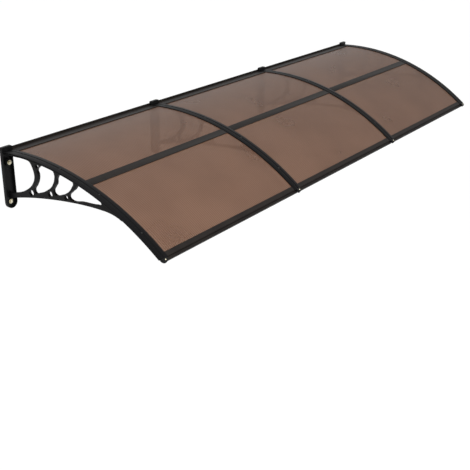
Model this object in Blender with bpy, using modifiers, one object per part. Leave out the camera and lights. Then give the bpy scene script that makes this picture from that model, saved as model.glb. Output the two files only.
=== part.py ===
"""Door canopy: four moulded brackets carry three bays of curved twin-wall sheet.

Metres, +Z up. X runs along the wall, the wall is the plane Y = 0 and the canopy reaches out to -Y.
The origin lies on the wall, in the middle of the width, level with the upper face of the sheets.
Profiles are drawn as (out, z): out is the distance from the wall, so out = -Y.
"""
import math

import bmesh
import bpy
from mathutils import Matrix, Vector

# Overall layout
BAYS = 3
BAY_PITCH = 1.000
SEAT_GAP = 0.0003

# Curve of the roof: its upper face is one arc seen from the side
ROOF_RADIUS = 1.310
CREST_OUT = 0.1035
ROOF_REACH = 0.932
SHEET_THICKNESS = 0.005

# Cover strips, screwed down over the edges of the sheets
STRIP_WIDTH = 0.052
STRIP_THICKNESS = 0.0047
STRIP_CHAMFER = 0.0012
STRIP_GROOVE_WIDTH = 0.008
STRIP_GROOVE_DEPTH = 0.0014
STRIP_SCREWS = 4
STRIP_SCREW_FIRST_OUT = 0.120
STRIP_SCREW_LAST_OUT = 0.800

# Bracket: wall plate, a channel open to the front with a round foot
PLATE_WIDTH = 0.060
PLATE_DEPTH = 0.016
PLATE_FLOOR = 0.004
PLATE_SIDE = 0.005
PLATE_TOP_Z = 0.024
PLATE_TOP_RADIUS = 0.007
PLATE_FOOT_Z = -0.268
RECESS_TOP_Z = -0.014
RECESS_TOP_RADIUS = 0.004
BOSS_RADIUS = 0.017
BOSS_REACH = 0.021

# Bracket: curved rib of T section with a tongue between the sheets
WEB_THICKNESS = 0.015
WEB_DEPTH = 0.016
FLANGE_WIDTH = 0.040
FLANGE_THICKNESS = 0.003
TONGUE_WIDTH = 0.012
TONGUE_SINK = 0.00075
NOSE_LENGTH = 0.0105
NOSE_WIDTH = 0.048
NOSE_RISE = 0.0065
NOSE_CORNER = 0.0035

# Bars between the brackets
BAR_WALL = 0.002
REAR_BAR_REACH = 0.0606
REAR_BAR_UPSTAND = 0.014
REAR_BAR_GRIP = 0.030
BAR_BEAD = 0.0012
MIDDLE_BAR_OUT = 0.490
MIDDLE_BAR_WIDTH = 0.040
MIDDLE_BAR_FOOT = 0.024
FRONT_BAR_GRIP = 0.0102
GUTTER_WIDTH = 0.0108
GUTTER_SETBACK = 0.0065
GUTTER_LIP_RISE = 0.0035

# Fasteners
BOLT_RADIUS = 0.004
BOLT_CLEARANCE = 0.0005
BOLT_HEAD_ACROSS = 0.013
BOLT_HEAD_HEIGHT = 0.0055
BOLT_HEAD_CHAMFER = 0.0021
UPPER_BOLT_Z = -0.049
WASHER_RADIUS = 0.011
WASHER_THICKNESS = 0.002
SCREW_RADIUS = 0.0018
SCREW_CLEARANCE = 0.0004
SCREW_LENGTH = 0.010
SCREW_HEAD_RADIUS = 0.0035
SCREW_HEAD_HEIGHT = 0.0022
SCREW_HEAD_CROWN = 0.0024

# Scrollwork between the chord and the rib. Smooth curves pass through these points, each a share of the
# bracket's reach and a share of its height, measured down from the upper face of the sheets above it.
CHORD_BOTTOM = [(0.754, 0.102), (0.731, 0.113), (0.683, 0.156), (0.623, 0.241), (0.536, 0.366),
                (0.433, 0.505), (0.299, 0.663), (0.160, 0.800), (0.050, 0.894), (0.000, 0.929)]
ARCH_CURVE = [(0.175, 0.081), (0.190, 0.156), (0.202, 0.291), (0.202, 0.367), (0.192, 0.462), (0.172, 0.563),
              (0.146, 0.642), (0.109, 0.723), (0.072, 0.776), (0.034, 0.803), (0.000, 0.805)]
SECOND_CURVE = [(0.332, 0.075), (0.340, 0.133), (0.339, 0.205), (0.329, 0.312), (0.311, 0.415),
                (0.286, 0.499), (0.255, 0.581), (0.219, 0.648), (0.201, 0.668), (0.193, 0.613),
                (0.210, 0.503), (0.224, 0.398), (0.229, 0.271), (0.223, 0.193)]
THIRD_CURVE = [(0.460, 0.097), (0.451, 0.182), (0.436, 0.276), (0.408, 0.381), (0.376, 0.465),
               (0.337, 0.521), (0.325, 0.470), (0.337, 0.370), (0.350, 0.290), (0.354, 0.191)]
FOURTH_CURVE = [(0.632, 0.125), (0.601, 0.206), (0.515, 0.344), (0.435, 0.445), (0.427, 0.406),
                (0.448, 0.285), (0.470, 0.192)]
CURL_HOLE = [(0.214, 0.091), (0.241, 0.088), (0.218, 0.169)]

# Each opening's start and end under the rib, as shares of the reach, with the curve that closes it below
OPENINGS = [(0.000, 0.161, ARCH_CURVE), (0.258, 0.319, SECOND_CURVE), (0.376, 0.448, THIRD_CURVE),
            (0.492, 0.620, FOURTH_CURVE)]

# Eyelets: the centre in the same shares, and the radius as a share of the height
EYELETS = [((0.171, 0.693), 0.063), ((0.302, 0.559), 0.059), ((0.408, 0.458), 0.046)]

# Fineness of the round forms
FACET_ANGLE = math.radians(2.0)
FACET_MARGIN = 0.05
RIB_SPANS = 5
FOOT_STEPS = 14
CORNER_STEPS = 3
BOSS_SIDES = 16
EYELET_SIDES = 10
BOLT_SIDES = 12
SCREW_SIDES = 8

# Finishes: base colour, roughness, metallic and alpha
FINISHES = {
    "black moulded plastic": ((0.012, 0.012, 0.013), 0.45, 0.0, 1.0),
    "charcoal coated aluminium": ((0.045, 0.043, 0.041), 0.50, 0.0, 1.0),
    "bronze twin-wall sheet": ((0.200, 0.130, 0.100), 0.25, 0.0, 0.8),
    "zinc plated steel": ((0.550, 0.540, 0.500), 0.35, 1.0, 1.0),
    "yellow zinc plated steel": ((0.620, 0.560, 0.420), 0.35, 1.0, 1.0),
    "black coated steel": ((0.030, 0.030, 0.030), 0.40, 0.0, 1.0),
}

# Turns a profile drawn in the XY plane into the (out, z) plane, or into the plane of the wall
SIDE_ON = Matrix(((0, 0, -1), (-1, 0, 0), (0, 1, 0))).to_4x4()
FACING_OUT = Matrix(((1, 0, 0), (0, 0, -1), (0, 1, 0))).to_4x4()

CENTRE_Z = -math.sqrt(ROOF_RADIUS ** 2 - CREST_OUT ** 2)
STRIP_UNDER = SEAT_GAP
STRIP_TOP = STRIP_UNDER + STRIP_THICKNESS
STRIP_SCREW_SEAT = STRIP_TOP - STRIP_GROOVE_DEPTH + SEAT_GAP
NOSE_SCREW_SEAT = NOSE_RISE + SEAT_GAP
FLANGE_TOP = -SHEET_THICKNESS - SEAT_GAP
FLANGE_UNDER = FLANGE_TOP - FLANGE_THICKNESS
NOSE_START = ROOF_REACH - NOSE_LENGTH
NOSE_SCREW_OUT = ROOF_REACH - NOSE_LENGTH / 2
GUTTER_OUT = ROOF_REACH - GUTTER_SETBACK
SHEET_END_OUT = GUTTER_OUT - GUTTER_WIDTH - 2 * BAR_WALL
FRONT_BAR_OUT = SHEET_END_OUT - FRONT_BAR_GRIP
LOWER_BOLT_Z = PLATE_FOOT_Z + PLATE_WIDTH / 2
BRACKET_HEIGHT = -LOWER_BOLT_Z


def clear_scene():
    """Removes the objects that the scene starts with."""
    for item in list(bpy.data.objects):
        bpy.data.objects.remove(item, do_unlink=True)


def new_collection(name):
    """Collection linked to the scene."""
    group = bpy.data.collections.new(name)
    bpy.context.scene.collection.children.link(group)
    return group


def new_material(name):
    """Principled material of a named finish."""
    colour, roughness, metallic, alpha = FINISHES[name]
    made = bpy.data.materials.new(name)
    made.use_nodes = True
    shader = made.node_tree.nodes["Principled BSDF"]
    shader.inputs["Base Color"].default_value = (*colour, 1.0)
    shader.inputs["Roughness"].default_value = roughness
    shader.inputs["Metallic"].default_value = metallic
    shader.inputs["Alpha"].default_value = alpha
    return made


def bracket_x(index):
    """Place along the wall of a bracket's middle."""
    return (index - BAYS / 2) * BAY_PITCH


def bay_x(index):
    """Place along the wall of a bay's middle."""
    return (index + 0.5 - BAYS / 2) * BAY_PITCH


def swing(out):
    """Slope of the roof at a distance from the wall, as the arc's angle past its crest."""
    return math.asin((out - CREST_OUT) / ROOF_RADIUS)


def roof_z(out):
    """Height of the sheets' upper face at a distance from the wall."""
    return CENTRE_Z + ROOF_RADIUS * math.cos(swing(out))


def on_roof(out, offset=0.0):
    """Point (out, z) at offset above the roof's upper face, on the normal where that face is at out."""
    reach = ROOF_RADIUS + offset
    return (CREST_OUT + reach * math.sin(swing(out)), CENTRE_Z + reach * math.cos(swing(out)))


def stations(start, end):
    """Distances from the wall between start and end at which every curved piece has its facet lines."""
    first = math.ceil(swing(start) / FACET_ANGLE + FACET_MARGIN)
    last = math.floor(swing(end) / FACET_ANGLE - FACET_MARGIN)
    fan = [CREST_OUT + ROOF_RADIUS * math.sin(step * FACET_ANGLE) for step in range(first, last + 1)]
    return [start] + fan + [end]


def spread(start, end, spans):
    """Evenly spaced values from start to end."""
    return [start + (end - start) * step / spans for step in range(spans + 1)]


def band(start, end, low, high):
    """Outline of a curved band between two offsets from the roof's upper face."""
    line = stations(start, end)
    return [on_roof(out, high) for out in line] + [on_roof(out, low) for out in reversed(line)]


def add_spline(curve, points, smooth=None):
    """Closed spline: straight between its points, or a smooth curve through those marked smooth."""
    if smooth is None:
        spline = curve.splines.new("POLY")
        spline.points.add(len(points) - 1)
        for point, (across, up) in zip(spline.points, points):
            point.co = (across, up, 0.0, 1.0)
    else:
        spline = curve.splines.new("BEZIER")
        spline.bezier_points.add(len(points) - 1)
        for point, (across, up), is_smooth in zip(spline.bezier_points, points, smooth):
            point.co = (across, up, 0.0)
            kind = "AUTO" if is_smooth else "VECTOR"
            point.handle_left_type = kind
            point.handle_right_type = kind
    spline.use_cyclic_u = True


def flat_curve(name, thickness, placing):
    """Flat filled outline, extruded to the given thickness about its own plane."""
    curve = bpy.data.curves.new(name, "CURVE")
    curve.dimensions = "2D"
    curve.fill_mode = "BOTH"
    curve.extrude = thickness / 2
    curve.resolution_u = 2
    item = bpy.data.objects.new(name, curve)
    item.matrix_world = placing
    return item


def as_mesh(item, group):
    """Closed mesh of a curve, or of an object with its modifiers applied, in the same place."""
    bpy.context.scene.collection.objects.link(item)
    bpy.context.view_layer.update()
    seen = item.evaluated_get(bpy.context.evaluated_depsgraph_get())
    mesh = bpy.data.meshes.new_from_object(seen)
    made = bpy.data.objects.new(item.name, mesh)
    made.matrix_world = item.matrix_world.copy()
    name = item.name
    bpy.data.objects.remove(item, do_unlink=True)
    made.name = name
    work = bmesh.new()
    work.from_mesh(mesh)
    bmesh.ops.remove_doubles(work, verts=work.verts, dist=0.00001)
    bmesh.ops.recalc_face_normals(work, faces=work.faces)
    work.to_mesh(mesh)
    work.free()
    group.objects.link(made)
    return made


def prism(name, points, thickness, placing, group):
    """Solid between two copies of a straight-sided outline."""
    item = flat_curve(name, thickness, placing)
    add_spline(item.data, points)
    return as_mesh(item, group)


def side_prism(name, points, thickness, x, group):
    """Solid with the given (out, z) profile, as thick as asked along X about x."""
    return prism(name, points, thickness, Matrix.Translation((x, 0.0, 0.0)) @ SIDE_ON, group)


def rod(name, radius, start, end, sides, group):
    """Round rod between two points in space."""
    axis = Vector(end) - Vector(start)
    work = bmesh.new()
    bmesh.ops.create_cone(work, cap_ends=True, segments=sides, radius1=radius, radius2=radius,
                          depth=axis.length)
    mesh = bpy.data.meshes.new(name)
    work.to_mesh(mesh)
    work.free()
    made = bpy.data.objects.new(name, mesh)
    turn = axis.to_track_quat("Z", "X").to_matrix().to_4x4()
    made.matrix_world = Matrix.Translation((Vector(start) + Vector(end)) / 2) @ turn
    group.objects.link(made)
    return made


def combine(item, tool, operation, solver="EXACT"):
    """Adds a Boolean with a cutter that stays out of the model."""
    change = item.modifiers.new(tool.name, "BOOLEAN")
    change.operation = operation
    change.solver = solver
    change.object = tool
    tool.hide_render = True
    tool.display_type = "WIRE"


def finished_mesh(item):
    """Mesh of an object with its modifiers applied, placed as the object is; the object is removed."""
    bpy.context.view_layer.update()
    seen = item.evaluated_get(bpy.context.evaluated_depsgraph_get())
    mesh = bpy.data.meshes.new_from_object(seen)
    mesh.transform(item.matrix_world)
    bpy.data.objects.remove(item, do_unlink=True)
    return mesh


def arc_2d(centre, radius, start, end, steps):
    """Points along a circular arc."""
    return [(centre[0] + radius * math.cos(angle), centre[1] + radius * math.sin(angle))
            for angle in spread(start, end, steps)]


def channel_outline(half_width, top, corner):
    """Outline in the plane of the wall: round foot, straight sides and small round top corners."""
    foot = arc_2d((0.0, LOWER_BOLT_Z), half_width, math.pi, 2 * math.pi, FOOT_STEPS)
    right = arc_2d((half_width - corner, top - corner), corner, 0.0, math.pi / 2, CORNER_STEPS)
    left = arc_2d((corner - half_width, top - corner), corner, math.pi / 2, math.pi, CORNER_STEPS)
    return foot + right + left


def facing_out(start, end):
    """Placing of a profile in the plane of the wall, for a solid that runs from out = start to end."""
    return Matrix.Translation((0.0, -(start + end) / 2, 0.0)) @ FACING_OUT


def on_bracket(shares, nearest):
    """Points (out, z) of the scrollwork from its shares, none of them nearer to the wall than asked."""
    points = []
    for reach_share, height_share in shares:
        out = max(reach_share * ROOF_REACH, nearest)
        points.append((out, roof_z(out) - height_share * BRACKET_HEIGHT))
    return points


def scroll_curve():
    """Side outline of the bracket's web: the rib, the chord, the scrollwork and its openings."""
    item = flat_curve("scrollwork", WEB_THICKNESS, SIDE_ON)
    curve = item.data
    back, front = PLATE_FLOOR / 4, NOSE_START + NOSE_LENGTH / 4
    top = [on_roof(out, FLANGE_UNDER + FLANGE_THICKNESS / 2) for out in spread(back, front, RIB_SPANS)]
    chord = on_bracket(CHORD_BOTTOM, back)
    under = [on_roof(out, -WEB_DEPTH) for out in spread(front, chord[0][0], RIB_SPANS + 1)[:-1]]
    outer = top + under + chord
    corners = {0, len(top) - 1, len(top), len(outer) - 1}
    add_spline(curve, outer, [index not in corners for index in range(len(outer))])
    floor_inside = PLATE_FLOOR * 3 / 4
    for first_share, last_share, lower in OPENINGS:
        first = max(first_share * ROOF_REACH, floor_inside)
        upper = [on_roof(out, -WEB_DEPTH) for out in spread(first, last_share * ROOF_REACH, 2)]
        points = upper + on_bracket(lower, floor_inside)
        sharp = {0, len(points) - 1} if first == floor_inside else {0}
        add_spline(curve, points, [index not in sharp for index in range(len(points))])
    add_spline(curve, on_bracket(CURL_HOLE, back), [True] * len(CURL_HOLE))
    for centre, share in EYELETS:
        middle = on_bracket([centre], back)[0]
        add_spline(curve, arc_2d(middle, share * BRACKET_HEIGHT, 0.0, 2 * math.pi, EYELET_SIDES)[:-1])
    return item


def screw_places():
    """Distances from the wall of the screws along a cover strip."""
    return spread(STRIP_SCREW_FIRST_OUT, STRIP_SCREW_LAST_OUT, STRIP_SCREWS - 1)


def roof_point(out, offset, x=0.0):
    """Point in space at offset above the roof's upper face."""
    reach, z = on_roof(out, offset)
    return Vector((x, -reach, z))


def bolt_seats():
    """Out and height of the two faces that the wall bolts' washers bear on."""
    return (("upper", BOSS_REACH, UPPER_BOLT_Z), ("lower", PLATE_FLOOR, LOWER_BOLT_Z))


def screw_hole(name, out, seat, group):
    """Cutter for a screw's hole, from above its head down past its point."""
    top = roof_point(out, seat + 2 * SCREW_HEAD_HEIGHT)
    foot = roof_point(out, seat - SCREW_LENGTH - SCREW_CLEARANCE)
    return rod(name, SCREW_RADIUS + SCREW_CLEARANCE, top, foot, SCREW_SIDES, group)


def wall_plate(cutters):
    """Channel that lies on the wall, with the boss that the upper bolt bears on."""
    outline = channel_outline(PLATE_WIDTH / 2, PLATE_TOP_Z, PLATE_TOP_RADIUS)
    plate = prism("bracket", outline, PLATE_DEPTH, facing_out(0.0, PLATE_DEPTH), cutters)
    hollow = channel_outline(PLATE_WIDTH / 2 - PLATE_SIDE, RECESS_TOP_Z, RECESS_TOP_RADIUS)
    placing = facing_out(PLATE_FLOOR, PLATE_FLOOR + PLATE_DEPTH)
    combine(plate, prism("recess", hollow, PLATE_DEPTH, placing, cutters), "DIFFERENCE")
    root, crown = (0, -PLATE_FLOOR / 2, UPPER_BOLT_Z), (0, -BOSS_REACH, UPPER_BOLT_Z)
    combine(plate, rod("boss", BOSS_RADIUS, root, crown, BOSS_SIDES, cutters), "UNION")
    return plate


def bracket_mesh(cutters):
    """One moulding: wall plate, boss, curved rib, scrollwork and nose, with its holes."""
    bracket = wall_plate(cutters)
    combine(bracket, as_mesh(scroll_curve(), cutters), "UNION")
    flange = band(PLATE_DEPTH / 2, NOSE_START + NOSE_LENGTH / 2, FLANGE_UNDER, FLANGE_TOP)
    combine(bracket, side_prism("flange", flange, FLANGE_WIDTH, 0.0, cutters), "UNION")
    tongue = band(PLATE_DEPTH / 3, NOSE_START + NOSE_LENGTH / 3, FLANGE_TOP - TONGUE_SINK, 0.0)
    combine(bracket, side_prism("tongue", tongue, TONGUE_WIDTH, 0.0, cutters), "UNION")
    combine(bracket, nose_block(cutters), "UNION", "MANIFOLD")
    for _, _, z in bolt_seats():
        start, end = (0, PLATE_DEPTH, z), (0, -2 * BOSS_REACH, z)
        hole = rod("bolt_hole", BOLT_RADIUS + BOLT_CLEARANCE, start, end, BOLT_SIDES, cutters)
        combine(bracket, hole, "DIFFERENCE", "MANIFOLD")
    for out in screw_places():
        combine(bracket, screw_hole("pilot_hole", out, STRIP_SCREW_SEAT, cutters), "DIFFERENCE", "MANIFOLD")
    nose_hole = screw_hole("nose_pilot_hole", NOSE_SCREW_OUT, NOSE_SCREW_SEAT, cutters)
    combine(bracket, nose_hole, "DIFFERENCE", "MANIFOLD")
    return finished_mesh(bracket)


def nose_block(group):
    """Rounded end of the rib, a little narrower than the cover strip, in front of the gutter."""
    low, high, corner = -WEB_DEPTH, NOSE_RISE, NOSE_CORNER
    middle_out = ROOF_REACH - corner
    upper = arc_2d((middle_out, high - corner), corner, math.pi / 2, 0.0, CORNER_STEPS)
    lower = arc_2d((middle_out, low + corner), corner, 0.0, -math.pi / 2, CORNER_STEPS)
    pairs = [(NOSE_START, low), (NOSE_START, high)] + upper + lower
    return side_prism("nose", [on_roof(out, offset) for out, offset in pairs], NOSE_WIDTH, 0.0, group)


def cover_strip_mesh(cutters):
    """Flat strip bent along the roof, with chamfered edges, a groove down its middle and screw holes."""
    outline = band(PLATE_DEPTH + SEAT_GAP, NOSE_START - SEAT_GAP, STRIP_UNDER, STRIP_TOP)
    strip = side_prism("strip", outline, STRIP_WIDTH, 0.0, cutters)
    edge = strip.modifiers.new("chamfer", "BEVEL")
    edge.width = STRIP_CHAMFER
    edge.segments = 1
    edge.limit_method = "ANGLE"
    edge.angle_limit = math.radians(60)
    groove = band(0.0, ROOF_REACH, STRIP_TOP - STRIP_GROOVE_DEPTH, STRIP_TOP + STRIP_GROOVE_DEPTH)
    combine(strip, side_prism("groove", groove, STRIP_GROOVE_WIDTH, 0.0, cutters), "DIFFERENCE")
    for out in screw_places():
        combine(strip, screw_hole("strip_hole", out, STRIP_SCREW_SEAT, cutters), "DIFFERENCE", "MANIFOLD")
    return finished_mesh(strip)


def place_copies(name, mesh, x_places, finish, parts):
    """One object for each place along X, all sharing one mesh."""
    mesh.materials.clear()
    mesh.materials.append(finish)
    for number, x in enumerate(x_places, start=1):
        made = bpy.data.objects.new(f"{name}_{number}", mesh)
        made.location = (x, 0.0, 0.0)
        parts.objects.link(made)


def bar_length():
    """Length of a bar between the cover strips of two brackets."""
    return BAY_PITCH - STRIP_WIDTH - 2 * SEAT_GAP


def rear_bar_outline():
    """Flashing against the wall: upstand, top flange with a bead, and a pocket that grips the sheet."""
    top, under = SEAT_GAP + BAR_WALL, SEAT_GAP
    sheet_under = -SHEET_THICKNESS - SEAT_GAP
    foot = sheet_under - BAR_WALL
    web = PLATE_DEPTH - BAR_WALL
    lip_end = PLATE_DEPTH + REAR_BAR_GRIP
    bead_start = REAR_BAR_REACH - 2 * BAR_BEAD
    points = [(0.0, REAR_BAR_UPSTAND), (BAR_WALL, REAR_BAR_UPSTAND), (BAR_WALL, roof_z(BAR_WALL) + top)]
    points += [on_roof(out, top) for out in spread(BAR_WALL, bead_start, 2)[1:]]
    points += [on_roof(bead_start, top + BAR_BEAD), on_roof(REAR_BAR_REACH, top + BAR_BEAD)]
    points += [on_roof(out, under) for out in spread(REAR_BAR_REACH, PLATE_DEPTH, 2)]
    points += [on_roof(PLATE_DEPTH, sheet_under), on_roof(lip_end, sheet_under)]
    points += [on_roof(lip_end, foot), on_roof(web, foot), on_roof(web, under), (BAR_WALL, under)]
    points += [(BAR_WALL, foot), (0.0, foot)]
    return points


def middle_bar_outline():
    """Joiner of H section between the rear and the front sheet, with a bead along its front edge."""
    half, foot, wall = MIDDLE_BAR_WIDTH / 2, MIDDLE_BAR_FOOT / 2, BAR_WALL / 2
    top, under = SEAT_GAP + BAR_WALL, SEAT_GAP
    sheet_under = -SHEET_THICKNESS - SEAT_GAP
    bead_start = half - 2 * BAR_BEAD
    pairs = [(-half, under), (-half, top), (bead_start, top), (bead_start, top + BAR_BEAD),
             (half, top + BAR_BEAD), (half, under), (wall, under), (wall, sheet_under), (foot, sheet_under),
             (foot, sheet_under - BAR_WALL), (-foot, sheet_under - BAR_WALL), (-foot, sheet_under),
             (-wall, sheet_under), (-wall, under)]
    return [on_roof(MIDDLE_BAR_OUT + along, offset) for along, offset in pairs]


def front_bar_outline():
    """Front edging: a pocket that grips the sheet and an open gutter with a lip in front of it."""
    top, under = SEAT_GAP + BAR_WALL, SEAT_GAP
    sheet_under = -SHEET_THICKNESS - SEAT_GAP
    floor = sheet_under - BAR_WALL
    rear, end = FRONT_BAR_OUT, SHEET_END_OUT
    trough, lip = end + BAR_WALL, GUTTER_OUT - BAR_WALL
    pairs = [(rear, under), (rear, top), (trough, top), (trough, sheet_under), (lip, sheet_under),
             (lip, GUTTER_LIP_RISE), (GUTTER_OUT, GUTTER_LIP_RISE), (GUTTER_OUT, floor), (rear, floor),
             (rear, sheet_under), (end, sheet_under), (end, under)]
    return [on_roof(out, offset) for out, offset in pairs]


def bar_mesh(name, outline, length, cutters):
    """Mesh of a straight bar or a sheet with the given side outline."""
    bar = side_prism(name, outline, length, 0.0, cutters)
    mesh = bar.data
    mesh.transform(bar.matrix_world)
    bpy.data.objects.remove(bar, do_unlink=True)
    return mesh


def turned(name, profile, sides, group):
    """Turned solid about +Z from a profile that runs from its top, down its outer side, to its foot."""
    mesh = bpy.data.meshes.new(name)
    points = [(radius, 0.0, z) for radius, z in profile]
    mesh.from_pydata(points, [(step, step + 1) for step in range(len(points) - 1)], [])
    item = bpy.data.objects.new(name, mesh)
    spin = item.modifiers.new("turn", "SCREW")
    spin.steps = sides
    spin.render_steps = sides
    spin.use_merge_vertices = True
    spin.merge_threshold = 0.00001
    made = as_mesh(item, group)
    mesh = made.data
    bpy.data.objects.remove(made, do_unlink=True)
    return mesh


def screw_mesh(name, cutters):
    """Pan-head screw with its head's seat at z = 0."""
    height = SCREW_HEAD_HEIGHT
    profile = [(0.0, height), (SCREW_HEAD_CROWN, height), (SCREW_HEAD_RADIUS, height / 2),
               (SCREW_HEAD_RADIUS, 0.0), (SCREW_RADIUS, 0.0), (SCREW_RADIUS, -SCREW_LENGTH),
               (0.0, -SCREW_LENGTH)]
    return turned(name, profile, SCREW_SIDES, cutters)


def washer_mesh(cutters):
    """Flat ring with its seat at z = 0."""
    inner, outer = BOLT_RADIUS + BOLT_CLEARANCE, WASHER_RADIUS
    profile = [(inner, WASHER_THICKNESS), (outer, WASHER_THICKNESS), (outer, 0.0), (inner, 0.0),
               (inner, WASHER_THICKNESS)]
    return turned("washer", profile, BOLT_SIDES, cutters)


def bolt_mesh(name, length, cutters):
    """Hexagon head with a chamfered top, and a plain shank down to the wall."""
    work = bmesh.new()
    corner = BOLT_HEAD_ACROSS / 2 / math.cos(math.pi / 6)
    height = BOLT_HEAD_HEIGHT
    raised = Matrix.Translation((0, 0, height / 2))
    bmesh.ops.create_cone(work, cap_ends=True, segments=6, radius1=corner, radius2=corner, depth=height,
                          matrix=raised)
    head_mesh = bpy.data.meshes.new(name)
    work.to_mesh(head_mesh)
    work.free()
    head = bpy.data.objects.new(name, head_mesh)
    wide = corner + BOLT_HEAD_CHAMFER
    crown = [(0.0, 2 * height), (BOLT_HEAD_ACROSS / 2 - BOLT_HEAD_CHAMFER, 2 * height),
             (BOLT_HEAD_ACROSS / 2 - BOLT_HEAD_CHAMFER / 2, height), (wide, height - BOLT_HEAD_CHAMFER),
             (wide, -height), (0.0, -height)]
    cone = bpy.data.objects.new(name + "_crown", turned(name + "_crown", crown, BOLT_SIDES, cutters))
    cutters.objects.link(cone)
    combine(head, cone, "INTERSECT")
    shank = rod(name + "_shank", BOLT_RADIUS, (0, 0, height / 2), (0, 0, -length), BOLT_SIDES, cutters)
    combine(head, shank, "UNION")
    made = as_mesh(head, cutters)
    mesh = made.data
    bpy.data.objects.remove(made, do_unlink=True)
    return mesh


def build_sheets(parts, cutters, finish):
    """Rear and front half sheet of each bay, flush with the roof's curve."""
    width = BAY_PITCH - TONGUE_WIDTH - 2 * SEAT_GAP
    joint = BAR_WALL / 2 + SEAT_GAP
    rear = band(PLATE_DEPTH + SEAT_GAP, MIDDLE_BAR_OUT - joint, -SHEET_THICKNESS, 0.0)
    front = band(MIDDLE_BAR_OUT + joint, SHEET_END_OUT - SEAT_GAP, -SHEET_THICKNESS, 0.0)
    places = [bay_x(bay) for bay in range(BAYS)]
    place_copies("sheet_rear", bar_mesh("sheet_rear", rear, width, cutters), places, finish, parts)
    place_copies("sheet_front", bar_mesh("sheet_front", front, width, cutters), places, finish, parts)


def build_bars(parts, cutters, finish):
    """Rear, middle and front bar of each bay."""
    rear_length = BAY_PITCH - PLATE_WIDTH - 2 * SEAT_GAP
    rows = [("rear_bar", rear_bar_outline(), rear_length), ("middle_bar", middle_bar_outline(), bar_length()),
            ("front_bar", front_bar_outline(), bar_length())]
    for name, outline, length in rows:
        mesh = bar_mesh(name, outline, length, cutters)
        place_copies(name, mesh, [bay_x(bay) for bay in range(BAYS)], finish, parts)


def place_facing_out(name, mesh, x, seat, z, parts):
    """Places a fastener with its seat at a distance from the wall and its axis pointing out."""
    made = bpy.data.objects.new(name, mesh)
    made.matrix_world = Matrix.Translation((x, -seat, z)) @ FACING_OUT.to_3x3().to_4x4()
    parts.objects.link(made)


def place_on_roof(name, mesh, x, out, offset, parts):
    """Places a screw with its seat at offset above the sheets and its axis square to them."""
    made = bpy.data.objects.new(name, mesh)
    made.matrix_world = Matrix.Translation(roof_point(out, offset, x)) @ Matrix.Rotation(swing(out), 4, "X")
    parts.objects.link(made)


def build_fasteners(parts, cutters):
    """Bolts and washers in the wall plates, and screws along the strips and in the noses."""
    yellow_zinc = new_material("yellow zinc plated steel")
    washer = washer_mesh(cutters)
    washer.materials.append(new_material("zinc plated steel"))
    strip_screw = screw_mesh("strip_screw", cutters)
    strip_screw.materials.append(new_material("black coated steel"))
    nose_screw = screw_mesh("nose_screw", cutters)
    nose_screw.materials.append(yellow_zinc)
    for place, seat, z in bolt_seats():
        washer_seat = seat + SEAT_GAP
        head_seat = washer_seat + WASHER_THICKNESS + SEAT_GAP
        bolt = bolt_mesh("bolt_" + place, head_seat - SEAT_GAP, cutters)
        bolt.materials.clear()
        bolt.materials.append(yellow_zinc)
        for number in range(BAYS + 1):
            x = bracket_x(number)
            place_facing_out(f"washer_{place}_{number + 1}", washer, x, washer_seat, z, parts)
            place_facing_out(f"wall_bolt_{place}_{number + 1}", bolt, x, head_seat, z, parts)
    for number in range(BAYS + 1):
        x = bracket_x(number)
        for row, out in enumerate(screw_places(), start=1):
            place_on_roof(f"strip_screw_{number + 1}_{row}", strip_screw, x, out, STRIP_SCREW_SEAT, parts)
        place_on_roof(f"nose_screw_{number + 1}", nose_screw, x, NOSE_SCREW_OUT, NOSE_SCREW_SEAT, parts)


def main():
    """Builds the canopy, one named object for each piece."""
    clear_scene()
    parts = new_collection("door_canopy")
    cutters = new_collection("cutters")
    moulding = new_material("black moulded plastic")
    brackets = [bracket_x(number) for number in range(BAYS + 1)]
    place_copies("bracket", bracket_mesh(cutters), brackets, moulding, parts)
    place_copies("cover_strip", cover_strip_mesh(cutters), brackets, moulding, parts)
    build_sheets(parts, cutters, new_material("bronze twin-wall sheet"))
    build_bars(parts, cutters, new_material("charcoal coated aluminium"))
    build_fasteners(parts, cutters)


main()
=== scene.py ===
"""Studio scene of a door canopy: curved bronze twin-wall sheet on black moulded wall brackets.

Metres, +Z up. X runs along the wall, the wall is the plane Y = 0 and the canopy reaches out to -Y.
Places along the roof are given by out, the distance from the wall, and by offset, the height above the sheets.
"""

import logging
import math
from dataclasses import dataclass, field
from enum import Enum

import bmesh
import bpy
from mathutils import Matrix, Vector


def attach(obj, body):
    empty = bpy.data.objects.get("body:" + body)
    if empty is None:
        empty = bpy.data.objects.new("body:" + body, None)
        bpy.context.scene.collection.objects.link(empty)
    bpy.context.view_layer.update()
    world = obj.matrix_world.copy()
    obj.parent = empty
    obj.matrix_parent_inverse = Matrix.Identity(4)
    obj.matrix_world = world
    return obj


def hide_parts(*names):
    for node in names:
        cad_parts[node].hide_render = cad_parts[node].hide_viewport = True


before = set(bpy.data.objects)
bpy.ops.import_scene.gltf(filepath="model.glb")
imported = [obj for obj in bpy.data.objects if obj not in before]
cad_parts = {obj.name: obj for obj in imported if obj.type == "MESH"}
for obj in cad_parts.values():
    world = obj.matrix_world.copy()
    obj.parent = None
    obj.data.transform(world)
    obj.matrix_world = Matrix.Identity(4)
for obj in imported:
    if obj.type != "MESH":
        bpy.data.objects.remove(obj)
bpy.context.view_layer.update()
MM = 0.001
LOG = logging.getLogger("door_canopy")


class Slot(Enum):
    """Names of material slots."""

    MOULDING = "moulding"
    COATED_BAR = "coated_bar"
    BRONZE_SHEET = "bronze_sheet"
    ZINC_STEEL = "zinc_steel"
    BLACK_SCREW = "black_screw"


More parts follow.
